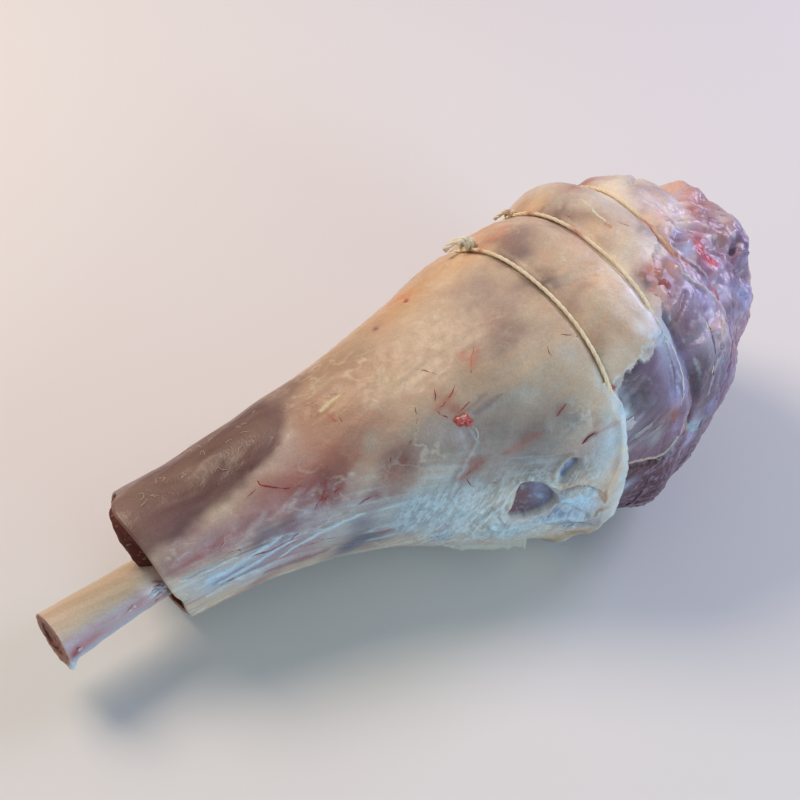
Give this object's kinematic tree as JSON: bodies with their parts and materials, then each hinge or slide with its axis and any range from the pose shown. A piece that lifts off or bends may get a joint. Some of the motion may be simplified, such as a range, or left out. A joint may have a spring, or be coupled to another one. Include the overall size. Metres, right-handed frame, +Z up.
{
  "type": "raw leg of lamb",
  "caption": "Raw leg of lamb for roasting: sawn shank bone standing out of a tapering shank, thick fat-covered rump tied round with loops of twine",
  "frame": {"origin": "middle of the underside of the whole leg's box, on the surface it lies on", "axes": "+X along the leg from the shank bone to the rump, -Y the front of the leg, +Z up"},
  "size_m": [0.3806, 0.1492, 0.1367],
  "materials": {
    "meat": "raw muscle under cream fat and moist membrane, wet sheen",
    "bone": "scraped fresh bone, cream and slightly moist",
    "marrow": "porous red-brown marrow, dull",
    "twine": "undyed cotton butcher's twine, two-ply"
  },
  "bodies": {
    "root": {"meat": "meat", "shank_bone": "bone", "marrow": "marrow", "string_1": "twine", "string_2": "twine", "string_3": "twine"}
  },
  "joints": []
}
